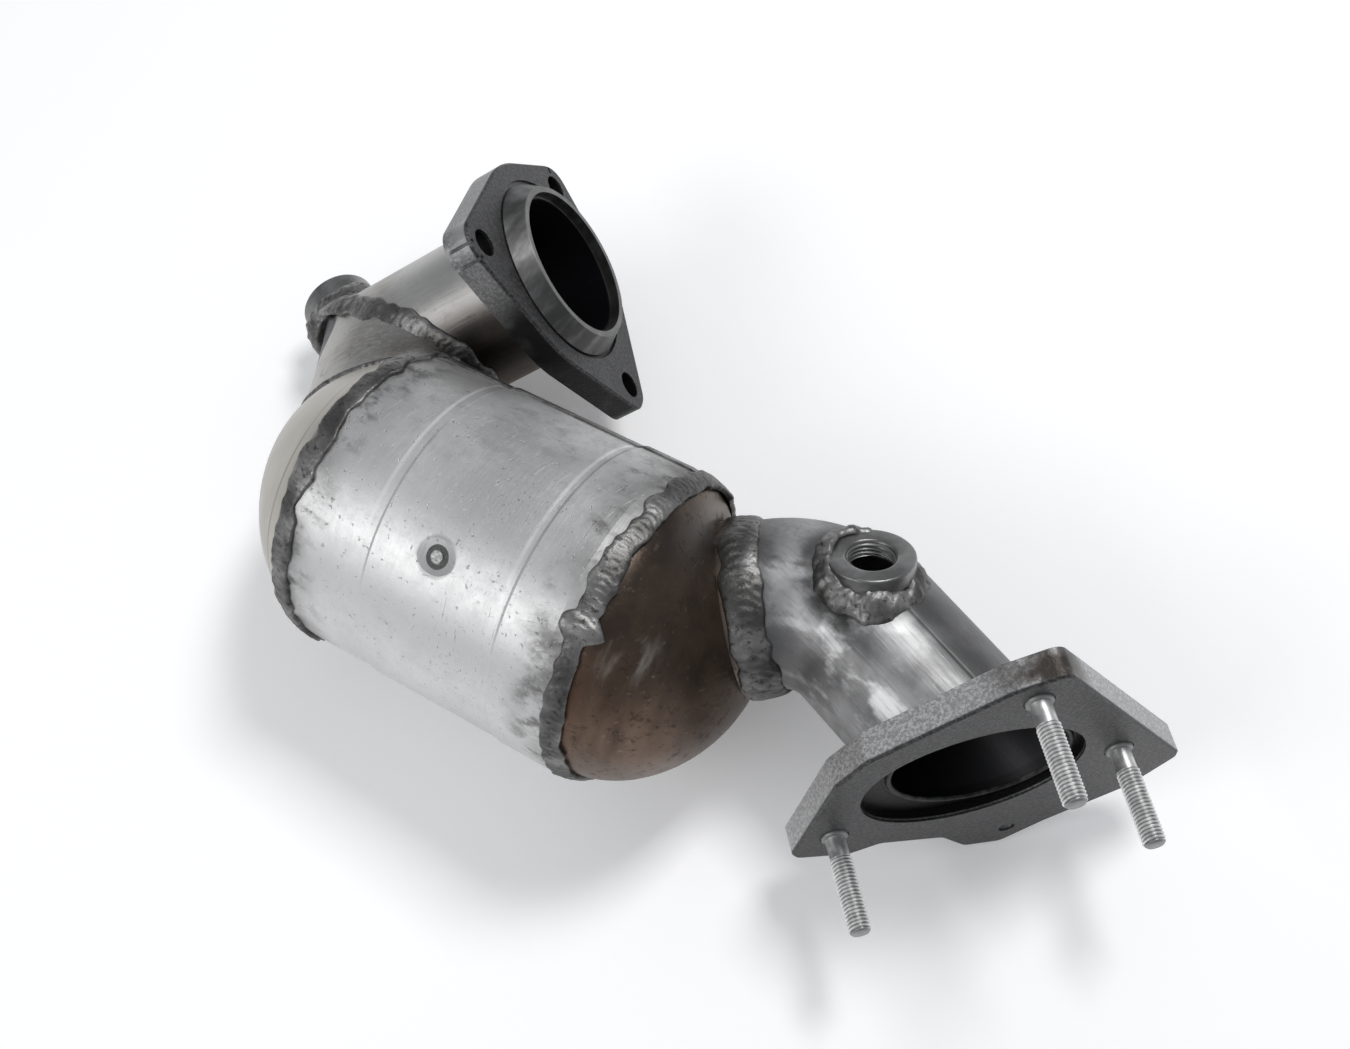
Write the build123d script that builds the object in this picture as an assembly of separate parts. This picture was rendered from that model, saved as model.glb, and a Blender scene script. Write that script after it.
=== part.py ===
from build123d import *
import os
from math import atan2, cos, degrees, pi, radians, sin

# Catalytic converter with a flanged inlet on a mitred corner, a round can between two off-centre
# cones, and a bent outlet pipe with a studded flange. Sizes are in millimetres.
# Everything is drawn round the can first: X runs along the can from inlet to outlet, the gas turns in
# the XY plane, and Z is up as the converter lies on its side. The last step puts the origin at the
# centre of the inlet flange's joint face and tips the whole converter the few degrees that it
# settles on a bench.

# Can
can_length = 114.0
can_radius = 56.5
can_wall = 1.5
sizing_step = 0.6
inlet_step_from_end = 34.5
outlet_step_from_end = 25.7
outlet_rim_length = 7.0
outlet_rim_drop = 0.9

# Lengthwise seam and plug on the can
seam_angle = 20.0
seam_width = 5.0
seam_height = 0.7
plug_offset = 1.6
plug_angle = 106.0
plug_radius = 4.2
plug_dish_radius = 7.4
plug_dish_depth = 0.8
plug_dome_radius = 2.2
plug_dome_height = 0.5

# Ceramic block and its packing
block_length = 89.0
block_radius = 50.8
mat_length = 78.0
seal_ring_length = 3.5
packing_clearance = 0.05

# Cones
cone_wall = 1.5
cone_skirt = 8.0
slip_clearance = 0.1
cone_sections = 4
inlet_cone_flatness = 1.45
outlet_cone_flatness = 1.1

# Opening of the inlet cone, measured from the can's inlet end
opening_out = 28.2
opening_across = 32.0
opening_rise = -13.0
opening_radius = 31.0
opening_bearing = 138.0

# Corner of the inlet, measured from the can's inlet end
corner_out = 37.6
corner_across = 57.0
corner_rise = -24.9
mitre_bearing = 89.0
mitre_slope = -5.5

# Inlet pipe
pipe_wall = 1.8
bore_overrun = 0.5
inlet_pipe_radius = 29.2
inlet_pipe_length = 75.0
inlet_bearing = 43.6
inlet_slope = 17.3

# Flanges
flange_thickness = 10.5
flange_chamfer = 0.8
inlet_disc_radius = 44.0
inlet_hole_places = ((-8.5, 50.8), (41.5, -12.0), (-39.5, -32.0))
inlet_ear_radius = 10.0
inlet_hole_radius = 5.2
cut_width = 1.2
cut_depth = 3.6
cut_spacing = 6.6
cut_turn = 30.0

# Seat ring on the inlet flange
ring_height = 6.7
ring_base_radius = 35.1
ring_top_radius = 30.6
ring_mouth_radius = 28.4
ring_mouth_depth = 4.0
ring_groove_width = 1.5
ring_groove_depth = 1.0

# Outlet neck, measured from the can's outlet end
neck_out = 31.5
neck_across = 28.7
neck_rise = -11.3
neck_bearing = 35.0
collar_length = 12.0
neck_length = 7.5

# Outlet pipe
outlet_pipe_radius = 29.5
outlet_pipe_bearing = -21.0
bend_radius = 38.3
outlet_straight = 60.0
pipe_lead = 10.0

# Outlet flange
outlet_bearing = -45.2
outlet_slope = 11.4
pipe_off_centre = (5.6, 1.5)
oval_half_length = 38.0
oval_half_width = 30.6
oval_depth = 4.0
outlet_outline = (
    (-68.5, -23.0), (-42.0, 25.0), (-29.0, 36.5), (20.0, 53.5), (38.0, 54.5), (68.5, -36.0),
    (50.0, -51.0), (18.0, -60.0), (1.0, -67.0), (-12.0, -61.0), (-18.0, -46.5), (-38.0, -34.5),
    (-50.0, -35.5))
outlet_corner_radius = 5.0
pin_hole_place = (4.8, -55.2)
pin_hole_radius = 2.9

# Studs
stud_places = {"stud_left": (-50.6, -14.7), "stud_top": (26.8, 42.6), "stud_right": (48.1, -14.7)}
stud_reach = 34.5
stud_radius = 4.0
stud_shank_radius = 3.45
stud_shank_length = 8.0
stud_foot_radius = 4.7
stud_foot_height = 0.9
stud_seat_radius = 5.1
stud_seat_depth = 0.4
stud_tip_chamfer = 1.1

# Sensor bosses
boss_radius = 15.0
boss_hole_radius = 8.2
boss_hole_chamfer = 0.8
boss_edge_chamfer = 0.6
outlet_boss_bearing = 105.0
outlet_boss_slope = 51.0
outlet_boss_reach = 34.7
inlet_boss_bearing = 155.0
inlet_boss_slope = -12.4
inlet_boss_reach = 42.8
inlet_boss_past_corner = 13.7
boss_weld_bare = 3.2
boss_weld_spread = 3.8
boss_weld_fall = 10.0

# Other weld beads
can_weld_half_width = 3.6
can_weld_height = 1.8
lump_radius = 4.5
lump_angle = 105.0
lump_out = 3.0
mitre_weld_radius = 3.2
opening_weld_radius = 1.7
collar_weld_half_width = 4.8
collar_weld_height = 3.3
inlet_flange_weld_radius = 2.4
oval_weld_radius = 1.1

# How the converter settles on a bench
bench_roll = 8.4
bench_pitch = -5.05

can_half = can_length / 2
inlet_end_radius = can_radius - sizing_step
outlet_end_radius = can_radius + sizing_step - outlet_rim_drop
skirt_radius = inlet_end_radius - can_wall - slip_clearance
neck_bore = outlet_pipe_radius + slip_clearance
neck_radius = neck_bore + cone_wall
ring_bore = inlet_pipe_radius + slip_clearance
inlet_pipe_end = ring_height - ring_mouth_depth


def facing(centre, bearing, slope):
    """Plane at a point whose normal has this bearing in the XY plane and this slope out of it."""
    b, s = radians(bearing), radians(slope)
    normal = Vector(cos(s) * cos(b), cos(s) * sin(b), sin(s))
    return Plane(origin=centre, x_dir=(-sin(b), cos(b), 0), z_dir=normal)


def bar(plane, low, high, radius):
    """Round bar along a plane's normal, between two heights over the plane."""
    return plane * Pos(0, 0, (low + high) / 2) * Cylinder(radius, high - low)


def turned(plane, *corners):
    """Solid turned about a plane's normal from its section's corners, as radius and height."""
    section = make_face(Polyline(*[(r, 0, z) for r, z in corners], close=True))
    return plane * revolve(section, Axis.Z)


def ring_bead(plane, radius, half_width, height):
    """Ring of weld round a plane's normal, with an oval section."""
    section = Plane.XZ * Pos(radius, 0) * Ellipse(height, half_width)
    return plane * revolve(section, Axis.Z)


def slanted_section(plane, axis, radius):
    """Oval in which a round pipe along an axis meets a plane."""
    across = axis.dot(plane.z_dir)
    turned_plane = Plane(origin=plane.origin, x_dir=axis - plane.z_dir * across, z_dir=plane.z_dir)
    return turned_plane * Ellipse(radius / abs(across), radius)


def bead_along(outline, radius):
    """Round bead that follows the edge of a flat outline."""
    edge = outline.edges()[0]
    return sweep(Plane(origin=edge @ 0, z_dir=edge % 0) * Circle(radius), path=edge)


def fitted(shape, *neighbours):
    """A shape cut back to its neighbours, without the slivers that the cuts leave."""
    for neighbour in neighbours:
        shape -= neighbour
    return shape.solids().sort_by(SortBy.VOLUME)[-1]


# The gas path, worked out from both ends of the can
can_middle = facing((0, 0, 0), 0, 0)
inlet_end = facing((-can_half, 0, 0), 180, 0)
outlet_end = facing((can_half, 0, 0), 0, 0)
opening = facing((-can_half - opening_out, opening_across, opening_rise), opening_bearing, 0)
corner = Vector(-can_half - corner_out, corner_across, corner_rise)
mitre = facing(corner, mitre_bearing, mitre_slope)
inlet_axis = facing(corner, inlet_bearing, inlet_slope).z_dir
inlet_face = facing(corner + inlet_axis * inlet_pipe_length, inlet_bearing, inlet_slope)
neck = facing((can_half + neck_out, neck_across, neck_rise), neck_bearing, 0)
neck_start = neck.offset(-collar_length)
outlet_bend = JernArc(neck.origin, neck.z_dir, bend_radius, outlet_pipe_bearing - neck_bearing)
outlet_axis = outlet_bend % 1
pipe_mouth = facing(outlet_bend @ 1 + outlet_axis * outlet_straight, outlet_bearing, outlet_slope)
outlet_face = Plane(pipe_mouth * Pos(-pipe_off_centre[0], -pipe_off_centre[1], 0))
oval_floor = facing(pipe_mouth.origin - outlet_axis * (oval_depth / outlet_axis.dot(pipe_mouth.z_dir)),
                    outlet_bearing, outlet_slope)
outlet_boss_face = facing(outlet_bend @ 1, outlet_boss_bearing, outlet_boss_slope).offset(outlet_boss_reach)
inlet_boss_face = facing(corner - inlet_axis * inlet_boss_past_corner,
                         inlet_boss_bearing, inlet_boss_slope).offset(inlet_boss_reach)


# Can
def can_solid(inset=0.0):
    """The can as a full round body, with two sizing steps and a drawn-in rim at the outlet end."""
    low, mid, high = (can_radius + step - inset for step in (-sizing_step, 0, sizing_step))
    first = -can_half + inlet_step_from_end
    second = can_half - outlet_step_from_end
    return turned(can_middle, (0, -can_half), (low, -can_half), (low, first - sizing_step),
                  (mid, first + sizing_step), (mid, second - sizing_step), (high, second + sizing_step),
                  (high, can_half - outlet_rim_length), (high - outlet_rim_drop, can_half), (0, can_half))


def on_can(offset, angle, radius):
    """Plane on the can at a distance from its middle and an angle round it, looking out."""
    a = radians(angle)
    out = Vector(0, cos(a), sin(a))
    return Plane(origin=out * radius + Vector(offset, 0, 0), x_dir=(1, 0, 0), z_dir=out)


plug_place = on_can(plug_offset, plug_angle, can_radius)


def can_shell():
    """Rolled shell, open at both ends, with a dished hole for the plug."""
    dish = plug_place * Pos(0, 0, -plug_dish_depth / 2) * Cone(plug_radius, plug_dish_radius, plug_dish_depth)
    hole = bar(plug_place, -2 * can_wall, can_wall, plug_radius)
    return can_solid() - can_solid(can_wall) - dish - hole


def can_plug():
    """Plug that closes the hole, set below the skin, with a low dome in its middle."""
    top = -plug_dish_depth
    body = bar(plug_place, -can_wall, top, plug_radius)
    return body + bar(plug_place, top, top + plug_dome_height, plug_dome_radius)


def can_seam_weld():
    """Flat strip of weld along the lengthwise seam, between the two ring welds."""
    length = can_length - 2 * can_weld_half_width
    strip = on_can(0, seam_angle, can_radius) * Box(length, seam_width, can_radius / 2)
    return (can_solid(-seam_height) & strip) - can_solid()


def ceramic_block():
    """Round block that carries the catalyst."""
    return bar(can_middle, -block_length / 2, block_length / 2, block_radius)


def packing_ring(start, length):
    """Ring of packing between the block and the can, from a distance along the can."""
    slab = bar(can_middle, start, start + length, can_radius)
    core = bar(can_middle, start, start + length, block_radius + packing_clearance)
    return (can_solid(can_wall + packing_clearance) & slab) - core


# Cones
def dome(start, end, end_radius, flatness, inset=0.0):
    """Drawn dome: both side lines leave the can straight and turn in to the end, near to quarter ovals.

    The inner face starts and ends a little lower, which keeps a wall where the dome is short and steep.
    """
    start = start.offset(-inset / 2)
    end = end.offset(-inset)
    sections = []
    for step in range(cone_sections + 1):
        turn = step * pi / 2 / cone_sections
        sides = []
        for side in (1, -1):
            first = start.origin + start.x_dir * side * (skirt_radius - inset)
            last = end.origin + end.x_dir * side * (end_radius - inset)
            out = start.z_dir * (last - first).dot(start.z_dir)
            sides.append(first + out * sin(turn) ** flatness + (last - first - out) * (1 - cos(turn)))
        across = sides[0] - sides[1]
        centre = (sides[0] + sides[1]) / 2
        plane = Plane(origin=centre, x_dir=across, z_dir=across.cross(Vector(0, 0, 1)))
        sections.append(plane * Circle(across.length / 2))
    return loft(sections)


def inlet_cone_solid(inset=0.0):
    """Inlet cone as a full body, with the skirt that slips into the can."""
    skirt = bar(inlet_end, -cone_skirt, -inset / 2, skirt_radius - inset)
    return skirt + dome(inlet_end, opening, opening_radius, inlet_cone_flatness, inset)


def outlet_cone_solid(inset=0.0):
    """Outlet cone as a full body, with its skirt and the neck that takes the outlet pipe."""
    skirt = bar(outlet_end, -cone_skirt, -inset / 2, skirt_radius - inset)
    neck_tube = bar(neck_start, -inset, neck_length, neck_radius - inset)
    return skirt + dome(outlet_end, neck_start, neck_radius, outlet_cone_flatness, inset) + neck_tube


# Inlet
def transition_solid(inset=0.0, overrun=0.0):
    """Tube from the round opening of the inlet cone to the oval of the mitre, as a full body."""
    oval = slanted_section(mitre.offset(overrun), inlet_axis, inlet_pipe_radius - inset)
    long_way = inlet_axis - mitre.z_dir * inlet_axis.dot(mitre.z_dir)
    start = Plane(origin=opening.origin - opening.z_dir * overrun,
                  x_dir=long_way - opening.z_dir * long_way.dot(opening.z_dir), z_dir=opening.z_dir)
    return loft([start * Circle(opening_radius - inset), oval])


def inlet_pipe_solid(inset=0.0):
    """Inlet pipe as a full bar, cut to the mitre at its lower end."""
    full = bar(inlet_face, -inlet_pipe_length - 2 * inlet_pipe_radius, inlet_pipe_end,
               inlet_pipe_radius - inset)
    return split(full, bisect_by=mitre, keep=Keep.TOP)


def rim_cut(ear, shift):
    """Thin cut through the rim of an ear, beside its middle line."""
    slot = Box(cut_depth * 2, cut_width, flange_thickness)
    return ear * Rot(Z=cut_turn) * Pos(inlet_ear_radius, shift, -flange_thickness / 2) * slot


def inlet_flange():
    """Three-eared plate with a bore for the pipe, bolt holes, thin rim cuts and a groove for the ring."""
    disc = Circle(inlet_disc_radius)
    outline = disc
    ears = [Pos(x, y, 0) * Rot(Z=degrees(atan2(y, x))) for x, y in inlet_hole_places]
    for ear in ears:
        outline += make_hull((disc + ear * Circle(inlet_ear_radius)).edges())
    plate = extrude(outline, -flange_thickness)
    plate = chamfer(plate.faces().sort_by(Axis.Z)[-1].edges(), flange_chamfer)
    plate -= bar(Plane.XY, -flange_thickness, 0, ring_bore)
    plate -= turned(Plane.XY, (ring_base_radius, 0), (ring_base_radius, -ring_groove_depth),
                    (ring_base_radius + ring_groove_width, -ring_groove_depth),
                    (ring_base_radius + ring_groove_width, 0))
    for ear in ears:
        plate -= ear * Pos(0, 0, -flange_thickness / 2) * Cylinder(inlet_hole_radius, flange_thickness)
    plate -= [rim_cut(ears[0], shift) for shift in (-cut_spacing / 2, cut_spacing / 2)]
    plate -= rim_cut(ears[1], 0)
    return inlet_face * plate


def inlet_seat_ring():
    """Turned seat with a conical side, over the end of the inlet pipe."""
    return turned(inlet_face, (ring_bore, 0), (ring_base_radius, 0), (ring_top_radius, ring_height),
                  (ring_mouth_radius, ring_height), (ring_mouth_radius, inlet_pipe_end),
                  (ring_bore, inlet_pipe_end))


# Outlet
def outlet_pipe_solid(inset=0.0):
    """Outlet pipe as a full bent bar, cut off slanted at the floor of the flange's oval."""
    radius = outlet_pipe_radius - inset
    run = outlet_straight + outlet_pipe_radius
    lead = Line(neck.origin - neck.z_dir * pipe_lead, neck.origin)
    tail = Line(outlet_bend @ 1, outlet_bend @ 1 + outlet_axis * run)
    section = neck.offset(-pipe_lead) * Circle(radius)
    return split(sweep(section, path=lead + outlet_bend + tail), bisect_by=oval_floor, keep=Keep.BOTTOM)


def outlet_flange():
    """Thick plate with an oval recess over the slanted end of the pipe, a pin hole and three stud holes.

    A shallow seat round each stud hole keeps the foot of the stud inside the outline of the face.
    """
    outline = make_face(Polyline(*outlet_outline, close=True))
    plate = extrude(fillet(outline.vertices(), outlet_corner_radius), -flange_thickness)
    plate = chamfer(plate.faces().sort_by(Axis.Z)[-1].edges(), flange_chamfer)
    plate -= extrude(Ellipse(oval_half_length, oval_half_width), -oval_depth)
    plate -= Pos(*pin_hole_place, -flange_thickness / 2) * Cylinder(pin_hole_radius, flange_thickness)
    for place in stud_places.values():
        plate -= Pos(*place, -flange_thickness / 2) * Cylinder(stud_radius, flange_thickness)
        plate -= Pos(*place, -stud_seat_depth / 2) * Cylinder(stud_seat_radius, stud_seat_depth)
    bore_run = 2 * (flange_thickness + outlet_pipe_radius)
    bore = bar(facing(oval_floor.origin, outlet_pipe_bearing, 0), -bore_run, bore_run, neck_bore)
    return outlet_face * plate - split(bore, bisect_by=oval_floor, keep=Keep.BOTTOM)


def stud(place):
    """Pressed stud: root in the flange, foot ring in its seat, narrow shank, and the part for the nut."""
    shank_end = stud_shank_length + stud_radius - stud_shank_radius
    return turned(outlet_face * Pos(*place, 0), (0, -flange_thickness), (stud_radius, -flange_thickness),
                  (stud_radius, -stud_seat_depth), (stud_foot_radius, -stud_seat_depth),
                  (stud_foot_radius, stud_foot_height),
                  (stud_shank_radius, stud_foot_height), (stud_shank_radius, stud_shank_length),
                  (stud_radius, shank_end), (stud_radius, stud_reach - stud_tip_chamfer),
                  (stud_radius - stud_tip_chamfer, stud_reach), (0, stud_reach))


# Sensor bosses
def boss_hole(face, reach):
    """Sensor hole through a boss and the wall under it."""
    return bar(face, -reach, boss_hole_chamfer, boss_hole_radius)


def boss(face, reach, *pipes):
    """Round boss with a threaded hole, shaped to the pipes that it stands on."""
    ring = turned(face, (boss_hole_radius, -reach), (boss_radius, -reach), (boss_radius, -boss_edge_chamfer),
                  (boss_radius - boss_edge_chamfer, 0), (boss_hole_radius + boss_hole_chamfer, 0),
                  (boss_hole_radius, -boss_hole_chamfer))
    return fitted(ring, *pipes)


def boss_weld(face, *neighbours):
    """Sloping weld round the foot of a boss."""
    foot = -boss_weld_bare - boss_weld_fall
    ring = turned(face, (boss_radius, -boss_weld_bare), (boss_radius + boss_weld_spread, foot),
                  (boss_radius, foot))
    return fitted(ring, *neighbours)


# Filled bodies that the welds and bosses are shaped to
can_body = can_solid()
inlet_cone_body = inlet_cone_solid()
outlet_cone_body = outlet_cone_solid()
transition_body = transition_solid()
inlet_pipe_body = inlet_pipe_solid()
outlet_pipe_body = outlet_pipe_solid()
opening_hole = bar(opening, -2 * cone_wall, cone_wall, opening_radius - cone_wall)
inlet_boss_hole = boss_hole(inlet_boss_face, inlet_boss_reach)
outlet_boss_hole = boss_hole(outlet_boss_face, outlet_boss_reach)
inlet_sensor_boss = boss(inlet_boss_face, inlet_boss_reach, transition_body, inlet_pipe_body)
inlet_boss_body = inlet_sensor_boss + inlet_boss_hole


# Welds
def inlet_can_weld():
    """Ring of weld over the can's inlet rim."""
    ring = ring_bead(inlet_end, inlet_end_radius, can_weld_half_width, can_weld_height)
    return fitted(ring, can_body, inlet_cone_body, transition_body, inlet_pipe_body)


def outlet_can_weld():
    """Ring of weld over the can's outlet rim, with one big lump."""
    ring = ring_bead(outlet_end, outlet_end_radius, can_weld_half_width, can_weld_height)
    lump = on_can(can_half + lump_out, lump_angle, outlet_end_radius) * Sphere(lump_radius)
    return fitted(ring + lump, can_body, outlet_cone_body)


def mitre_weld(can_bead):
    """Bead round the oval joint between the transition and the inlet pipe."""
    bead = bead_along(slanted_section(mitre, inlet_axis, inlet_pipe_radius), mitre_weld_radius)
    return fitted(bead, transition_body, inlet_pipe_body, can_body, can_bead, inlet_boss_body)


def opening_weld(can_bead, mitre_bead):
    """Thin bead round the joint between the inlet cone and the transition."""
    bead = ring_bead(opening, opening_radius, opening_weld_radius, opening_weld_radius)
    return fitted(bead, transition_body, inlet_cone_body, can_body, can_bead, mitre_bead)


def collar_weld():
    """Wide bead over the edge of the outlet neck."""
    edge = neck_start.offset(neck_length)
    bead = ring_bead(edge, neck_radius, collar_weld_half_width, collar_weld_height)
    return fitted(bead, outlet_cone_body, outlet_pipe_body)


def inlet_flange_weld():
    """Bead between the back of the inlet flange and the pipe."""
    back = inlet_face.offset(-flange_thickness)
    half = ring_bead(back, ring_bore, inlet_flange_weld_radius, inlet_flange_weld_radius)
    return fitted(split(half, bisect_by=back, keep=Keep.BOTTOM), inlet_pipe_body)


def outlet_flange_weld():
    """Bead that stands on the end of the outlet pipe, along the inner edge of its wall."""
    edge = slanted_section(oval_floor, outlet_axis, outlet_pipe_radius - pipe_wall)
    bead = split(bead_along(edge, oval_weld_radius), bisect_by=oval_floor, keep=Keep.TOP)
    return fitted(bead, outlet_flange())


def converter():
    """Every piece by name, in the drawing frame."""
    can_bead = inlet_can_weld()
    mitre_bead = mitre_weld(can_bead)
    pieces = {
        "can_shell": can_shell(),
        "can_plug": can_plug(),
        "can_seam_weld": can_seam_weld(),
        "ceramic_block": ceramic_block(),
        "support_mat": packing_ring(-mat_length / 2, mat_length),
        "inlet_seal_ring": packing_ring(-mat_length / 2 - seal_ring_length, seal_ring_length),
        "outlet_seal_ring": packing_ring(mat_length / 2, seal_ring_length),
        "inlet_cone": inlet_cone_body - inlet_cone_solid(cone_wall) - opening_hole,
        "inlet_can_weld": can_bead,
        "inlet_transition": transition_body - transition_solid(pipe_wall, bore_overrun) - inlet_boss_hole,
        "opening_weld": opening_weld(can_bead, mitre_bead),
        "inlet_pipe": inlet_pipe_body - inlet_pipe_solid(pipe_wall) - inlet_boss_hole,
        "mitre_weld": mitre_bead,
        "inlet_sensor_boss": inlet_sensor_boss,
        "inlet_boss_weld": boss_weld(inlet_boss_face, transition_body, inlet_pipe_body, mitre_bead),
        "inlet_flange": inlet_flange(),
        "inlet_flange_weld": inlet_flange_weld(),
        "inlet_seat_ring": inlet_seat_ring(),
        "outlet_cone": outlet_cone_body - outlet_cone_solid(cone_wall),
        "outlet_can_weld": outlet_can_weld(),
        "outlet_pipe": outlet_pipe_body - outlet_pipe_solid(pipe_wall) - outlet_boss_hole,
        "collar_weld": collar_weld(),
        "outlet_sensor_boss": boss(outlet_boss_face, outlet_boss_reach, outlet_pipe_body),
        "outlet_boss_weld": boss_weld(outlet_boss_face, outlet_pipe_body),
        "outlet_flange": outlet_flange(),
        "outlet_flange_weld": outlet_flange_weld(),
    }
    for name, place in stud_places.items():
        pieces[name] = stud(place)
    return pieces


on_bench = Rot(X=bench_roll) * Rot(Y=bench_pitch) * Pos(-inlet_face.origin)
os.makedirs("parts", exist_ok=True)
for name, piece in converter().items():
    export_step(on_bench * piece, f"parts/{name}.step")
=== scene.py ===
# %% [markdown]
# # A catalytic converter on a white studio floor
# The solids come from the CAD model and are already in place, in metres.
# This lesson adds what the solids leave out: rippled welds, threads, worn steel and light.
# Everything is built from sizes of the real object, so a piece can be checked with a ruler.

# %% Load the solids
import bpy
from math import atan2, ceil, cos, pi, radians, sin, sqrt
from mathutils import Matrix, Vector, noise
from mathutils.bvhtree import BVHTree


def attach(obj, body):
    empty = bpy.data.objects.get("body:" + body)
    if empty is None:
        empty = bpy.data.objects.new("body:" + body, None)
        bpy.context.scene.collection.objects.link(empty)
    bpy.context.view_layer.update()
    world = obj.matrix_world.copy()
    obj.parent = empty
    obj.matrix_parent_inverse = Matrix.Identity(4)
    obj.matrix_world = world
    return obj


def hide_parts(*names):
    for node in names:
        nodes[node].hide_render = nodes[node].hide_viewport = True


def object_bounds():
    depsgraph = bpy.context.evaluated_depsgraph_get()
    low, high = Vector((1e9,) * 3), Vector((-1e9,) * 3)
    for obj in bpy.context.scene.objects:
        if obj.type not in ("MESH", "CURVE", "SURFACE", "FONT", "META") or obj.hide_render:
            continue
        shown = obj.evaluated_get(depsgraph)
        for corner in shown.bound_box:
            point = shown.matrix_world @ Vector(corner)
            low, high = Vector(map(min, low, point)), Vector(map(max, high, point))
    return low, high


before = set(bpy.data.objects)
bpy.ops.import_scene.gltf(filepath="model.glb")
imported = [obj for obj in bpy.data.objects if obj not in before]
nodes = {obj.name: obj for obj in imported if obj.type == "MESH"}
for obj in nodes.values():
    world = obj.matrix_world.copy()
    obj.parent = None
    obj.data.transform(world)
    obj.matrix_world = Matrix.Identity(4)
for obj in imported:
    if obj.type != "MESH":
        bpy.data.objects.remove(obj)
cad_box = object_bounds()
print("nodes:", len(nodes), "box:", cad_box)

# %% [markdown]
# The can is round, so places on the converter are easiest to name from the can itself:
# x along its axis from inlet to outlet, y to the side that the inlet turns to, z up from the can.
# The converter lies a little rolled and pitched on the bench. One matrix holds that turn,
# and `on_can_frame` gives the scene's place of a point named in millimetres from the can.
# The main places are named here once: the two flange faces, and the end of the outlet pipe's bend.

# %% The can's own directions
MM = 0.001
half_can = 57.0
inlet_face_centre = Vector((-42.74, 106.38, -2.60))
inlet_bearing, inlet_slope = 43.6, 17.3
outlet_face_centre = Vector((176.44, 7.42, -12.77))
outlet_bearing, outlet_slope = -45.2, 11.4
bend_end = Vector((124.19, 33.08, -11.3))
pipe_bearing = -21
bench_roll, bench_pitch = radians(8.4), radians(-5.05)
bench = Matrix.Rotation(bench_roll, 4, "X") @ Matrix.Rotation(bench_pitch, 4, "Y") \
    @ Matrix.Translation(-inlet_face_centre * MM)
turn_only = bench.to_3x3()

# The finishes follow the same directions, to two or three figures.
inlet_out = (0.69, 0.66, 0.30)
outlet_out = (0.69, -0.70, 0.20)
collar_way = (0.82, 0.57, 0)
pipe_run = (0.934, -0.358, 0)


def on_can_frame(x, y, z):
    """The scene's place of a point in millimetres from the middle of the can."""
    return bench @ (Vector((x, y, z)) * MM)


def facing(centre, bearing, slope):
    """A matrix at a point whose z looks along a bearing and a slope, with x level. Millimetres."""
    b, s = radians(bearing), radians(slope)
    z = Vector((cos(s) * cos(b), cos(s) * sin(b), sin(s)))
    x = Vector((-sin(b), cos(b), 0))
    y = z.cross(x)
    turn = Matrix((x, y, z)).transposed().to_4x4()
    return Matrix.Translation(Vector(centre)) @ turn


print("inlet face centre in the scene:", tuple(round(c, 4) for c in on_can_frame(*inlet_face_centre)))

# %% [markdown]
# The photograph looks down on the converter from in front. The camera stands where the real one did,
# about 60 cm from the can, with the focal length that gives the same perspective.

# %% Camera
sensor_width = 36
focal_length_in_pixels = 1700
picture_width_in_pixels = 1350
camera = bpy.data.objects.new("camera", bpy.data.cameras.new("camera"))
bpy.context.scene.collection.objects.link(camera)
camera_right = Vector((0.845, 0.482, -0.232)).normalized()
camera_ahead = Vector((-0.345, 0.159, -0.925)).normalized()
camera_up = camera_right.cross(camera_ahead)
axes = Matrix((turn_only @ camera_right, turn_only @ camera_up, -(turn_only @ camera_ahead))).transposed()
camera_place = on_can_frame(252.0, -56.7, 547.8)
camera.matrix_world = Matrix.Translation(camera_place) @ axes.to_4x4()
camera.data.sensor_width = sensor_width
camera.data.lens = sensor_width * focal_length_in_pixels / picture_width_in_pixels
camera.data.clip_start = 0.01
bpy.context.scene.camera = camera
print("lens:", round(camera.data.lens, 2), "mm")

# %% [markdown]
# Steel looks like what it reflects. A white floor below, a soft pale room, one lamp up and behind, and a
# wider, weaker one on the near side give the long bright and dark bands of the photograph.
# The lamp behind also throws the soft shadow towards the camera. The floor glows faintly for the camera
# and for reflections only, which lifts it to white and keeps its shadow.

# %% Floor, room and lamps
low = Vector(cad_box[0])
high = Vector(cad_box[1])
middle = (low + high) / 2
floor_mesh = bpy.data.meshes.new("floor")
half_floor = 6.0
corners = [(-half_floor, -half_floor, low.z), (half_floor, -half_floor, low.z),
           (half_floor, half_floor, low.z), (-half_floor, half_floor, low.z)]
floor_mesh.from_pydata(corners, [], [(0, 1, 2, 3)])
floor = bpy.data.objects.new("floor", floor_mesh)
bpy.context.scene.collection.objects.link(floor)


def soft_lamp(name, place, aim, size, power):
    """A square lamp with soft edges that looks at a point."""
    data = bpy.data.lights.new(name, "AREA")
    data.shape = "RECTANGLE"
    data.size, data.size_y = size
    data.energy = power
    lamp = bpy.data.objects.new(name, data)
    bpy.context.scene.collection.objects.link(lamp)
    lamp.location = place
    lamp.rotation_euler = (Vector(aim) - Vector(place)).to_track_quat("-Z", "Y").to_euler()


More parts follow.
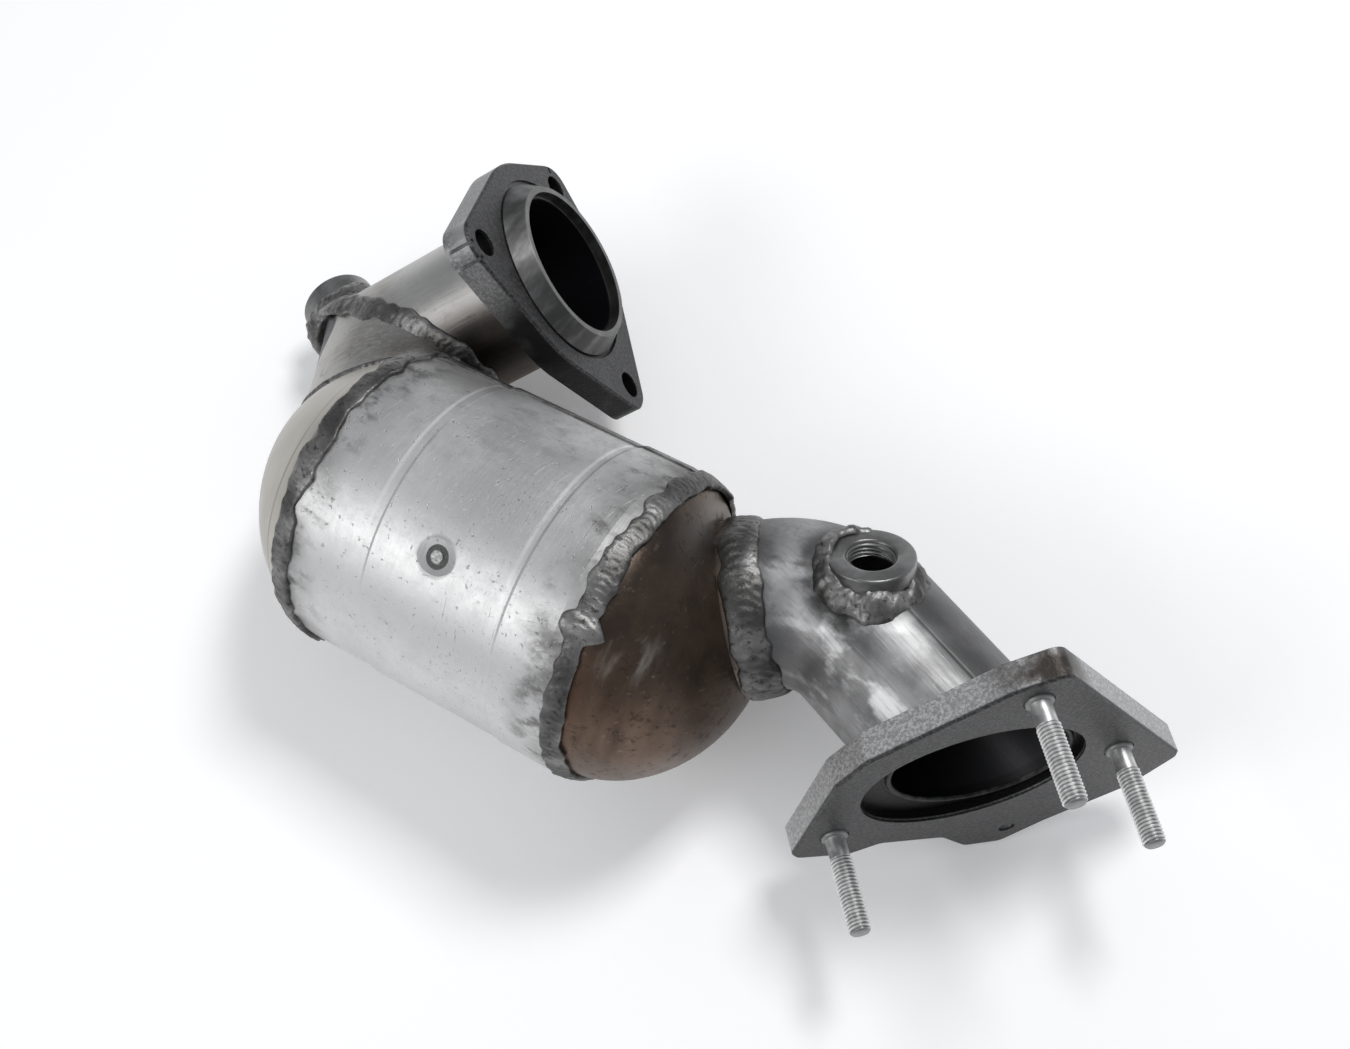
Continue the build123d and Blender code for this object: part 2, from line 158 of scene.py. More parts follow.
key_place = middle + turn_only @ Vector((0.25, 0.75, 1.05))
soft_lamp("lamp_behind", key_place, middle, size=(0.32, 0.32), power=9.0)
side_place = middle + turn_only @ Vector((-0.50, -0.80, 1.05))
soft_lamp("lamp_side", side_place, middle, size=(0.9, 0.5), power=5.5)
world = bpy.data.worlds.new("room")
bpy.context.scene.world = world
world.use_nodes = True
room_light = world.node_tree.nodes["Background"]
room_light.inputs["Color"].default_value = (0.93, 0.95, 1.0, 1)
room_light.inputs["Strength"].default_value = 0.40
scene_view = bpy.context.scene.view_settings
scene_view.view_transform = "Standard"

# %% [markdown]
# A material is a small sum: noise here, a band of heat colour there. Written as node graphs, such sums
# grow long, so a socket is wrapped in a class that knows plus, minus and times.
# `1 - mask` then makes the Math node by itself. Any other node comes from `node`, with its settings first.

# %% Sockets that can be added and multiplied
def grey(level):
    """A neutral colour, from 0 for black to 1 for white."""
    return (level, level, level)


class Value:
    """A socket of a material that takes part in sums."""

    def __init__(self, finish, socket):
        self.finish = finish
        self.socket = socket

    def maths(self, operation, first, second):
        """A Math node fed with two values or numbers."""
        return self.finish.node("ShaderNodeMath", {"operation": operation}, {0: first, 1: second})[0]

    def __add__(self, other):
        return self.maths("ADD", self, other)

    def __radd__(self, other):
        return self.maths("ADD", other, self)

    def __sub__(self, other):
        return self.maths("SUBTRACT", self, other)

    def __rsub__(self, other):
        return self.maths("SUBTRACT", other, self)

    def __mul__(self, other):
        return self.maths("MULTIPLY", self, other)

    def __rmul__(self, other):
        return self.maths("MULTIPLY", other, self)

    def between(self, start, end):
        """0 before start, 1 after end, with a soft change."""
        settings = {"interpolation_type": "SMOOTHSTEP"}
        if start < end:
            values = {"Value": self, "From Min": start, "From Max": end, "To Min": 0, "To Max": 1}
        else:
            values = {"Value": self, "From Min": end, "From Max": start, "To Min": 1, "To Max": 0}
        return self.finish.node("ShaderNodeMapRange", settings, values)[0]


class Finish:
    """A material whose shader is fed by sums of sockets."""

    def __init__(self, name):
        self.material = bpy.data.materials.new(name)
        self.material.use_nodes = True
        self.tree = self.material.node_tree
        self.shader = self.tree.nodes["Principled BSDF"]
        self.place = self.node("ShaderNodeTexCoord")["Object"]

    def node(self, kind, settings=None, values=None):
        """Adds a node: its settings first, then its values or links. Gives outputs by number and name."""
        made = self.tree.nodes.new(kind)
        for key, setting in (settings or {}).items():
            setattr(made, key, setting)
        for key, value in (values or {}).items():
            self.feed(made.inputs[key], value)
        outputs = {i: Value(self, o) for i, o in enumerate(made.outputs)}
        outputs.update({o.name: Value(self, o) for o in made.outputs if o.enabled})
        return outputs

    def feed(self, socket, value):
        """Links a value to a socket, or sets the socket to a number or a colour."""
        if isinstance(value, Value):
            self.tree.links.new(value.socket, socket)
        elif socket.type == "RGBA" and len(value) == 3:
            socket.default_value = (*value, 1)
        else:
            socket.default_value = value

    def set(self, **values):
        """Feeds the shader. base_color=... feeds Base Color, and so on."""
        for key, value in values.items():
            self.feed(self.shader.inputs[key.replace("_", " ").title().replace("Ior", "IOR")], value)

    def mix(self, mask, first, second):
        """The first colour where the mask is 0, the second where it is 1."""
        return self.node("ShaderNodeMix", {"data_type": "RGBA"}, {0: mask, 6: first, 7: second})[2]

    def grain(self, scale, detail=4.0, stretch=(1, 1, 1), roughness=0.55):
        """Noise from 0 to 1, with scale in features per metre, which stretch can draw out."""
        place = self.node("ShaderNodeMapping", None, {"Vector": self.place, "Scale": stretch})[0]
        return self.node("ShaderNodeTexNoise", None,
                         {"Vector": place, "Scale": scale, "Detail": detail, "Roughness": roughness})[0]

    def along(self, origin, direction):
        """Millimetres from a point along a direction, both named from the can."""
        start = on_can_frame(*origin)
        way = turn_only @ Vector(direction).normalized()
        moved = self.node("ShaderNodeVectorMath", {"operation": "SUBTRACT"},
                          {0: self.place, 1: tuple(start)})[0]
        dot = self.node("ShaderNodeVectorMath", {"operation": "DOT_PRODUCT"}, {0: moved, 1: tuple(way)})
        return dot["Value"] * 1000.0

    def from_axis(self, origin, direction):
        """Millimetres from a line through a point, both named from the can."""
        start = on_can_frame(*origin)
        way = turn_only @ Vector(direction).normalized()
        moved = self.node("ShaderNodeVectorMath", {"operation": "SUBTRACT"},
                          {0: self.place, 1: tuple(start)})[0]
        cross = self.node("ShaderNodeVectorMath", {"operation": "CROSS_PRODUCT"},
                          {0: moved, 1: tuple(way)})[0]
        return self.node("ShaderNodeVectorMath", {"operation": "LENGTH"}, {0: cross})["Value"] * 1000.0

    def drawn(self, direction, across, along, detail=4.0, roughness=0.6):
        """Noise drawn out along a direction: so many features per metre across it, and along it."""
        way = Vector(direction).normalized()
        side = way.orthogonal().normalized()
        other = way.cross(side)
        scales = ((way, along), (side, across), (other, across))
        parts = [self.along((0, 0, 0), line) * (scale * MM) for line, scale in scales]
        place = self.node("ShaderNodeCombineXYZ", None, {0: parts[0], 1: parts[1], 2: parts[2]})[0]
        return self.node("ShaderNodeTexNoise", None,
                         {"Vector": place, "Scale": 1.0, "Detail": detail, "Roughness": roughness})[0]

    def spot(self, centre, radius, soft):
        """1 inside a ball round a point named from the can, 0 outside, with a soft edge. Millimetres."""
        away = self.node("ShaderNodeVectorMath", {"operation": "DISTANCE"},
                         {0: self.place, 1: tuple(on_can_frame(*centre))})["Value"] * 1000.0
        return away.between(radius + soft, radius - soft)

    def relief(self, height, depth, strength=1.0):
        """Relief from a height of 0 to 1, as deep as depth in millimetres."""
        bump = self.node("ShaderNodeBump", None,
                         {"Strength": strength, "Distance": depth * MM, "Height": height})[0]
        self.set(normal=bump)

    def on(self, *names):
        """Puts the material on CAD nodes."""
        for name in names:
            slots = nodes[name].data.materials
            if len(slots):
                for i in range(len(slots)):
                    slots[i] = self.material
            else:
                slots.append(self.material)
        print(self.material.name, "on", ", ".join(names))


# %% [markdown]
# The floor is plain matt white. Its faint glow is switched by the kind of ray: camera, mirror and glass rays
# see it, and rays that light other things don't, so the steel isn't lit by it.

# %% White floor
floor_white = Finish("floor_white")
floor_white.set(base_color=grey(0.94), roughness=0.9, specular_ior_level=0.0)
ray = floor_white.node("ShaderNodeLightPath")
seen = ray["Is Camera Ray"].maths("MAXIMUM", ray["Is Camera Ray"], ray["Is Glossy Ray"])
seen = seen.maths("MAXIMUM", seen, ray["Is Transmission Ray"])
glow = floor_white.node("ShaderNodeEmission", None, {"Color": (1, 1, 1), "Strength": seen * 0.13})[0]
both = floor_white.node("ShaderNodeAddShader", None, {0: glow})[0]
floor_white.tree.links.new(floor_white.shader.outputs[0], both.socket.node.inputs[1])
floor_white.tree.links.new(both.socket, floor_white.tree.nodes["Material Output"].inputs["Surface"])
floor.data.materials.append(floor_white.material)
print("floor at", round(low.z, 4))

# %% [markdown]
# The can is rolled stainless sheet. It is pale, with fine scratches that run round it, small pits,
# and duller grey patches near the welds where heat has stained it. Each kind of scratch is noise drawn
# out along a direction named from the can. A painted highlight lightens the side that faces the near lamp,
# dark smudges are dirt near the welds and painted shade towards the back, and the two sizing steps
# get a painted highlight on their edges.

# %% Can steel
can_steel = Finish("can_steel")
round_scratches = can_steel.drawn((1, 0, 0), 60, 1500, 5)
long_scratches = can_steel.drawn((1, 0.35, 0.2), 1500, 55, 3).between(0.66, 0.74)
cross_scratches = can_steel.drawn((0.3, 1, -0.5), 1100, 70, 3).between(0.62, 0.70)
cloud = can_steel.grain(30, 6)
mottle = can_steel.grain(170, 5, roughness=0.7)
pits = can_steel.grain(520, 3).between(0.64, 0.72)
from_inlet = can_steel.along((-half_can, 0, 0), (1, 0, 0))
near_inlet = from_inlet.between(20, 4)
near_outlet = from_inlet.between(92, 108)
# Towards the back of the can, the dark smudges below are painted shade.
back_shade = can_steel.along((0, 0, 0), (0, 1, 0)).between(5, 45)
stain = (near_inlet * 0.7 + near_outlet * 0.9) * cloud.between(0.35, 0.62)
can_colour = can_steel.mix(cloud.between(0.35, 0.7), (0.48, 0.48, 0.475), (0.62, 0.62, 0.615))
can_colour = can_steel.mix(mottle.between(0.40, 0.72) * 0.5, can_colour, (0.36, 0.36, 0.355))
# A painted highlight: the side of the can that faces the near lamp is lightened.
front_highlight = can_steel.along((0, 0, 0), (-0.1, -0.75, 0.65)).between(20, 52)
can_colour = can_steel.mix(front_highlight * 0.6, can_colour, (0.76, 0.76, 0.755))
smudge = can_steel.grain(75, 6, (1, 1.6, 1.6), roughness=0.65)
# Dark smudges: dirt near the welds, and painted shade towards the back of the can.
dirt_and_back_shade = smudge.between(0.50, 0.66) * (near_inlet + near_outlet + back_shade * 0.35)
can_colour = can_steel.mix(dirt_and_back_shade * 0.8, can_colour, (0.13, 0.13, 0.127))
can_colour = can_steel.mix(stain, can_colour, (0.15, 0.147, 0.143))
can_colour = can_steel.mix(pits * 0.4, can_colour, grey(0.12))
# A painted highlight: thin bands at the sizing steps' edges are lightened on the lit side of the can.
lit = can_steel.along((0, 0, 0), (0, 0.9, 0.4)).between(-5, 35)
sizing_steps = (30.6, 85.6)
for at in sizing_steps:
    edge = from_inlet.between(at - 1.2, at) * from_inlet.between(at + 1.2, at) * lit
    can_colour = can_steel.mix(edge * cloud.between(0.3, 0.55) * 0.65, can_colour, grey(0.88))
can_colour = can_steel.mix(long_scratches * 0.25, can_colour, grey(0.20))
scuffs = can_steel.drawn((-0.05, 0.85, 0.5), 1500, 40, 3).between(0.64, 0.70)
scuffs = scuffs * from_inlet.between(60, 68) * from_inlet.between(96, 84)
can_colour = can_steel.mix(scuffs * 0.65, can_colour, grey(0.12))
can_colour = can_steel.mix(cross_scratches * 0.4, can_colour, grey(0.80))
plug_angle = radians(106)
plug_axis = ((1.6, 0, 0), (0, cos(plug_angle), sin(plug_angle)))
from_plug = can_steel.from_axis(*plug_axis)
outside = can_steel.along((0, 0, 0), (0, 0, 1)).between(30, 40)
dish = from_plug.between(8.0, 6.6) * outside
can_colour = can_steel.mix(dish * 0.45, can_colour, grey(0.16))
can_steel.set(base_color=can_colour, metallic=0.88,
              roughness=cloud * 0.12 + mottle * 0.22 + round_scratches * 0.12 + 0.27)
can_steel.relief(round_scratches * 0.2 + cloud * 0.5 + mottle * 0.35 - pits * 0.4 - long_scratches * 0.12,
                 0.30, 0.9)
can_steel.on("can_shell")

plug_steel = Finish("plug_steel")
from_plug = plug_steel.from_axis(*plug_axis)
crumbs = plug_steel.grain(900, 4)
dark_ring = from_plug.between(1.9, 2.6) * from_plug.between(4.6, 4.0)
plug_colour = plug_steel.mix(crumbs.between(0.4, 0.65), grey(0.20), grey(0.42))
plug_colour = plug_steel.mix(dark_ring * 0.9, plug_colour, grey(0.035))
plug_steel.set(base_color=plug_colour, metallic=0.85, roughness=crumbs * 0.3 + 0.25)
plug_steel.relief(crumbs, 0.25, 0.8)
plug_steel.on("can_plug")

# %% [markdown]
# The inlet cone has the smooth pale straw tint of steel that was heated once, with two faint lines from
# the press. The outlet cone ran hot: dark brown at its top, a redder brown lower down, with rust spots,
# a pale smear and a paler lip where it meets the collar.

# %% Cone steel
inlet_tint = Finish("inlet_cone_steel")
veil = inlet_tint.grain(22, 4)
brushed = inlet_tint.grain(300, 3, (1, 0.1, 0.1))
from_weld = inlet_tint.along((-half_can, 0, 0), (-1, 0, 0))
cone_colour = inlet_tint.mix(veil.between(0.3, 0.7), (0.38, 0.362, 0.32), (0.53, 0.513, 0.47))
cone_colour = inlet_tint.mix(from_weld.between(6, 0) * 0.7, cone_colour, (0.18, 0.155, 0.12))
press_lines = (5.5, 11.0)
for at in press_lines:
    line = from_weld.between(at - 0.9, at) * from_weld.between(at + 0.9, at)
    cone_colour = inlet_tint.mix(line * veil.between(0.3, 0.5) * 0.55, cone_colour, (0.14, 0.12, 0.095))
inlet_tint.set(base_color=cone_colour, metallic=0.85, roughness=veil * 0.12 + brushed * 0.08 + 0.30)
inlet_tint.relief(brushed * 0.3 + veil * 0.6, 0.3, 0.8)
inlet_tint.on("inlet_cone")

outlet_tint = Finish("outlet_cone_steel")
veil = outlet_tint.grain(30, 5)
streak = outlet_tint.grain(120, 4, (1, 0.25, 0.25))
across = outlet_tint.along((70, 0, 0), (0, 1, 0))
from_can = outlet_tint.along((half_can, 0, 0), (1, 0, 0))
to_collar = outlet_tint.along((79, 22, -11), collar_way)
brown = outlet_tint.mix(veil.between(0.35, 0.7), (0.045, 0.034, 0.028), (0.12, 0.083, 0.058))
tan = outlet_tint.mix(streak.between(0.3, 0.7), (0.075, 0.048, 0.034), (0.15, 0.10, 0.072))
tan = outlet_tint.mix(from_can.between(10, 2) * 0.8, tan, (0.10, 0.052, 0.030))
cone_colour = outlet_tint.mix((across + veil * 24).between(6, -26), brown, tan)
cone_colour = outlet_tint.mix(to_collar.between(-3, 3) * 0.7, cone_colour, (0.20, 0.17, 0.145))
rust = outlet_tint.grain(240, 5, roughness=0.7).between(0.52, 0.68)
cone_colour = outlet_tint.mix(rust * 0.55, cone_colour, (0.030, 0.020, 0.015))
wipe = outlet_tint.drawn((0.3, -0.6, 0.7), 420, 18, 4).between(0.62, 0.70)
cone_colour = outlet_tint.mix(wipe * 0.30, cone_colour, (0.26, 0.22, 0.19))
smear = outlet_tint.spot((70, -13, 43), 9, 5) * streak.between(0.45, 0.6)
cone_colour = outlet_tint.mix(smear * 0.8, cone_colour, (0.40, 0.37, 0.33))
outlet_tint.set(base_color=cone_colour, metallic=0.8, roughness=veil * 0.2 + rust * 0.15 + 0.27)
outlet_tint.relief(streak * 0.5 + veil * 0.5 + rust * 0.3, 0.25, 0.8)
outlet_tint.on("outlet_cone")

# %% [markdown]
# The pipes are drawn tube, brushed along their length. The inlet side is a warm grey, darker and browner
# towards the bottom. Near the flange, painted shade makes it nearly black underneath and a painted highlight
# lightens its upper side. The outlet pipe is a cooler grey, with pale worn patches, soot round its boss and
# three fine grooves on the far side of its straight run. Painted shade darkens that far side and a patch
# round the boss foot, and the insides of both pipes are painted near black as shade.

# %% Pipe steel
inlet_tube = Finish("inlet_tube_steel")
cloud = inlet_tube.grain(40, 5)
brushed = inlet_tube.drawn(inlet_out, 900, 60, 4)
mottle = inlet_tube.grain(200, 5, roughness=0.7)
down = inlet_tube.along((-80, 60, -10), (0.2, -0.1, -1))
under_flange = inlet_tube.along(inlet_face_centre, inlet_out)
# Painted shade: the inside of the pipe is made near black.
bore_shade = inlet_tube.from_axis(inlet_face_centre, inlet_out).between(28.2, 27.7)
tube_colour = inlet_tube.mix(cloud.between(0.35, 0.65), (0.27, 0.26, 0.245), (0.43, 0.42, 0.405))
tube_colour = inlet_tube.mix(brushed.between(0.45, 0.7) * 0.4, tube_colour, (0.55, 0.54, 0.52))
tube_colour = inlet_tube.mix(mottle.between(0.55, 0.7) * 0.5, tube_colour, (0.12, 0.11, 0.10))
on_pipe = under_flange.between(-66, -50)
# Painted shade: the underside of the pipe near the flange is made nearly black.
underside_shade = inlet_tube.along(inlet_face_centre, (0.70, -0.65, -0.20)).between(-9, 19)
tube_colour = inlet_tube.mix(underside_shade * on_pipe * 0.93, tube_colour, (0.030, 0.024, 0.019))
# A painted highlight: the upper side of the pipe near the flange is made lighter.
above = inlet_tube.along(inlet_face_centre, (-0.67, 0.45, 0.55)).between(2, 20)
tube_colour = inlet_tube.mix(above * on_pipe * 0.6, tube_colour, (0.52, 0.52, 0.51))
tube_colour = inlet_tube.mix((down + cloud * 20).between(10, 24) * 0.5, tube_colour, (0.10, 0.065, 0.04))
tube_colour = inlet_tube.mix(under_flange.between(-22, -11) * 0.4, tube_colour, (0.06, 0.055, 0.05))
tube_colour = inlet_tube.mix(bore_shade, tube_colour, (0.025, 0.025, 0.030))
inlet_tube.set(base_color=tube_colour, metallic=0.9, roughness=cloud * 0.18 + brushed * 0.14 + 0.24)
inlet_tube.relief(brushed * 0.5 + cloud * 0.4 + mottle * 0.2, 0.18, 0.8)
inlet_tube.on("inlet_transition", "inlet_pipe")

outlet_tube = Finish("outlet_tube_steel")
cloud = outlet_tube.grain(45, 6)
brushed = outlet_tube.drawn(pipe_run, 900, 70, 4)
worn = outlet_tube.grain(55, 5, (0.6, 1, 1)).between(0.50, 0.60)
soot = outlet_tube.spot((118, 38, 20), 14, 9) * outlet_tube.grain(150, 5).between(0.3, 0.6)
near_collar = outlet_tube.along((85, 26, -11), collar_way).between(24, 6)
round_pipe = outlet_tube.along((150, 40, 0), (0.36, 0.93, 0.35))
shaded_far_side = outlet_tube.along((146, 24, -11), (0.36, 0.93, 0)).between(12, 18)
groove = 0.0
groove_places = (-2.5, 0.0, 3.6)
for at in groove_places:
    groove = round_pipe.between(at - 0.7, at) * round_pipe.between(at + 0.7, at) + groove
from_bend = outlet_tube.along(bend_end, pipe_run)
groove = groove * shaded_far_side * from_bend.between(2, 10)
# Painted shade: the inside of the pipe is made near black.
bore_shade = outlet_tube.from_axis(bend_end, pipe_run).between(28.5, 28.0) * from_bend.between(0, 2)
low_side = outlet_tube.along((124, 33, -11), (-0.2, -0.6, 0.4)).between(-8, 22)
tube_colour = outlet_tube.mix(cloud.between(0.35, 0.65), grey(0.16), grey(0.35))
tube_colour = outlet_tube.mix(worn * low_side * 0.75, tube_colour, grey(0.62))
tube_colour = outlet_tube.mix(near_collar * cloud.between(0.3, 0.5) * 0.8, tube_colour, grey(0.09))
tube_colour = outlet_tube.mix(brushed.between(0.5, 0.7) * 0.3, tube_colour, grey(0.10))
foot_shade = outlet_tube.spot((117.5, 50, 16), 21.5, 3.5) * cloud.between(0.25, 0.5)
tube_colour = outlet_tube.mix(foot_shade * 0.7, tube_colour, grey(0.05))
tube_colour = outlet_tube.mix(soot * 0.9, tube_colour, grey(0.02))
# Painted shade: the far side of the pipe is darkened.
tube_colour = outlet_tube.mix(shaded_far_side * 0.6, tube_colour, grey(0.09))
tube_colour = outlet_tube.mix(groove * 0.85, tube_colour, grey(0.025))
tube_colour = outlet_tube.mix(bore_shade, tube_colour, (0.030, 0.030, 0.032))
# Painted shade: the end of the pipe inside the flange is made near black.
inside_flange_shade = outlet_tube.along(outlet_face_centre, outlet_out).between(-8.0, -6.5)
tube_colour = outlet_tube.mix(inside_flange_shade, tube_colour, (0.022, 0.022, 0.023))
outlet_tube.set(base_color=tube_colour, metallic=0.9, roughness=cloud * 0.22 + brushed * 0.10 + 0.31)
outlet_tube.relief(brushed * 0.3 + cloud * 0.9 - groove * 0.5, 0.3, 0.8)
outlet_tube.on("outlet_pipe")

# %% [markdown]
# Both flanges are cut from thick plate. Their faces are dark and finely pitted, and their rims paler,
# apart from the lower rim of the inlet flange, which painted shade makes near black. Painted shade also makes
# the walls of the inlet flange's bolt holes and the bore of the outlet flange near black. The seat ring is
# turned, so it is smoother, with faint streaks and a paler lip.

# %% Flange and seat steel
inlet_face = facing(inlet_face_centre, inlet_bearing, inlet_slope)
bolt_holes = ((-8.5, 50.8), (41.5, -12.0), (-39.5, -32.0))
inlet_plate = Finish("inlet_flange_steel")
speckle = inlet_plate.grain(900, 5, roughness=0.7)
cloud = inlet_plate.grain(60, 4)
height = inlet_plate.along(inlet_face_centre, inlet_out)
rim = height.between(-0.6, -1.4)
plate_colour = inlet_plate.mix(speckle.between(0.42, 0.62), (0.030, 0.030, 0.032), grey(0.085))
rim_colour = inlet_plate.mix(speckle.between(0.42, 0.62), grey(0.20), grey(0.34))
# Painted shade: the rim of the inlet flange is made near black, except on its lit upper side.
lit_upper_rim = inlet_plate.along(inlet_face_centre, (-0.75, 0.0, 0.65)).between(8, 30)
rim_colour = inlet_plate.mix(lit_upper_rim, (0.010, 0.010, 0.011), rim_colour)
bright_ear = inlet_plate.spot((-49.5, 90.0, 52.0), 7.5, 2.5)
rim_colour = inlet_plate.mix(bright_ear * 0.9, rim_colour, grey(0.36))
plate_colour = inlet_plate.mix(rim, plate_colour, rim_colour)
plate_colour = inlet_plate.mix(cloud.between(0.55, 0.75) * 0.3, plate_colour, grey(0.14))
# Painted shade: the walls of the bolt holes are made near black.
for x, y in bolt_holes:
    hole = inlet_plate.from_axis(inlet_face @ Vector((x, y, 0)), inlet_face.to_3x3() @ Vector((0, 0, 1)))
    plate_colour = inlet_plate.mix(hole.between(5.7, 5.3) * height.between(-0.2, -1.2), plate_colour,
                                   (0.015, 0.015, 0.016))
inlet_plate.set(base_color=plate_colour, metallic=0.8, roughness=speckle * 0.2 + 0.34)
inlet_plate.relief(speckle, 0.35, 0.7)
inlet_plate.on("inlet_flange")

outlet_plate = Finish("outlet_flange_steel")
speckle = outlet_plate.grain(900, 5, roughness=0.7)
cloud = outlet_plate.grain(55, 4)
height = outlet_plate.along(outlet_face_centre, outlet_out)
rim = height.between(-0.6, -1.4)
plate_colour = outlet_plate.mix(speckle.between(0.42, 0.62), grey(0.050), grey(0.105))
rim_colour = outlet_plate.mix(speckle.between(0.42, 0.62), grey(0.31), grey(0.54))
top_corner = outlet_plate.spot((187, 42, 38), 15, 9)
rim_colour = outlet_plate.mix(top_corner * cloud.between(0.3, 0.55), rim_colour, (0.055, 0.048, 0.042))
plate_colour = outlet_plate.mix(rim, plate_colour, rim_colour)
# Painted shade: the wall of the outlet flange's bore is made near black.
in_plate = height.between(-0.9, -1.6) * height.between(-10.0, -9.4)
flange_bore_shade = in_plate * outlet_plate.spot((176.4, 7.4, -13), 38.6, 0.3)
plate_colour = outlet_plate.mix(flange_bore_shade, plate_colour, grey(0.012))
outlet_plate.set(base_color=plate_colour, metallic=0.8, roughness=speckle * 0.2 + 0.33)
outlet_plate.relief(speckle, 0.3, 0.7)
outlet_plate.on("outlet_flange")

seat_steel = Finish("seat_ring_steel")
fine = seat_steel.grain(700, 3)
cross = seat_steel.grain(150, 3, (1, 0.3, 1))
height = seat_steel.along(inlet_face_centre, inlet_out)
lip = height.between(6.3, 6.7)
seat_colour = seat_steel.mix(cross.between(0.4, 0.7), (0.075, 0.075, 0.073), grey(0.17))
seat_colour = seat_steel.mix(lip * 0.5, seat_colour, grey(0.22))
seat_steel.set(base_color=seat_colour, metallic=0.9, roughness=fine * 0.2 + 0.34)
seat_steel.relief(fine * 0.5 + cross * 0.3, 0.06, 0.6)
seat_steel.on("inlet_seat_ring")

# %% [markdown]
# Deep inside the can sits the ceramic block with its fine square cells, held by a fibre mat. Its open cells
# are painted dark as shade. Little of them shows, but whoever looks into a pipe sees them, so they get their
# own finishes.

# %% Block and mat
cells = Finish("ceramic")
half_cell = 0.62
cell_opening_shade = 1.0
for way in ((0, 1, 0), (0, 0, 1)):
    offset = cells.along((0, 0, 0), way)
    from_wall = offset.maths("PINGPONG", offset, half_cell)
    cell_opening_shade = from_wall.between(0.1, 0.2) * cell_opening_shade
cells.set(base_color=cells.mix(cell_opening_shade, (0.62, 0.56, 0.46), (0.05, 0.045, 0.04)), roughness=0.85)
cells.relief(1 - cell_opening_shade, 0.5)
cells.on("ceramic_block")
fibre = Finish("mat_fibre")
fuzz = fibre.grain(600, 5)
fibre.set(base_color=fibre.mix(fuzz, (0.5, 0.47, 0.41), (0.74, 0.72, 0.66)), roughness=0.95)
fibre.relief(fuzz, 0.4)
fibre.on("support_mat", "inlet_seal_ring", "outlet_seal_ring")

# %% [markdown]
# A weld bead is a string of frozen puddles. From above it shows curved ripples, a wavy edge and now and
# then a lump. A smooth ring with a bump texture looks flat at its outline, so each bead is a real mesh:
# a section carried along the joint, whose width and height change with the ripple and with slow noise.

# %% Weld finish and bead maker
weld_steel = Finish("weld_steel")
crust = weld_steel.grain(420, 6, roughness=0.65)
tone = weld_steel.grain(70, 3)
weld_colour = weld_steel.mix(tone.between(0.35, 0.7), (0.085, 0.083, 0.08), (0.27, 0.267, 0.262))
weld_colour = weld_steel.mix(crust.between(0.54, 0.66) * 0.8, weld_colour, (0.04, 0.038, 0.036))
weld_steel.set(base_color=weld_colour, metallic=0.88, roughness=crust * 0.3 + 0.27)
weld_steel.relief(crust * 0.8 + tone * 0.3, 0.42, 0.9)

sooty_weld = Finish("sooty_weld_steel")
crust = sooty_weld.grain(260, 5)
sooty_weld.set(base_color=sooty_weld.mix(crust.between(0.4, 0.7), grey(0.012), grey(0.05)),
               metallic=0.7, roughness=crust * 0.3 + 0.30)
sooty_weld.relief(crust, 0.4, 0.8)
sooty_weld.on("outlet_flange_weld")


def mesh_piece(name, points, faces, finish, sharp=50):
    """A mesh object from points in millimetres named from the can, which rides on the converter."""
    mesh = bpy.data.meshes.new(name)
    mesh.from_pydata([bench @ (Vector(p) * MM) for p in points], [], faces)
    mesh.polygons.foreach_set("use_smooth", [True] * len(mesh.polygons))
    mesh.set_sharp_from_angle(angle=radians(sharp))
    mesh.materials.append(finish.material)
    mesh.update()
    piece = bpy.data.objects.new(name, mesh)
    bpy.context.scene.collection.objects.link(piece)
    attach(piece, "root")
    print(name, "faces", len(faces))
    return piece


def tube_faces(rings, sides, closed):
    """Faces between rings of points, joined end to start or capped at both ends."""
    faces = []
    for i in range(rings if closed else rings - 1):
        for j in range(sides):
            a, b = i * sides, ((i + 1) % rings) * sides
            k = (j + 1) % sides
            faces.append((a + j, a + k, b + k, b + j))
    if not closed:
        faces.append(tuple(reversed(range(sides))))
        faces.append(tuple(range((rings - 1) * sides, rings * sides)))
    return faces


def wave(x, y, z, size):
    """Smooth noise from -1 to 1 with features about as large as size."""
    return noise.noise(Vector((x, y, z)) / size)


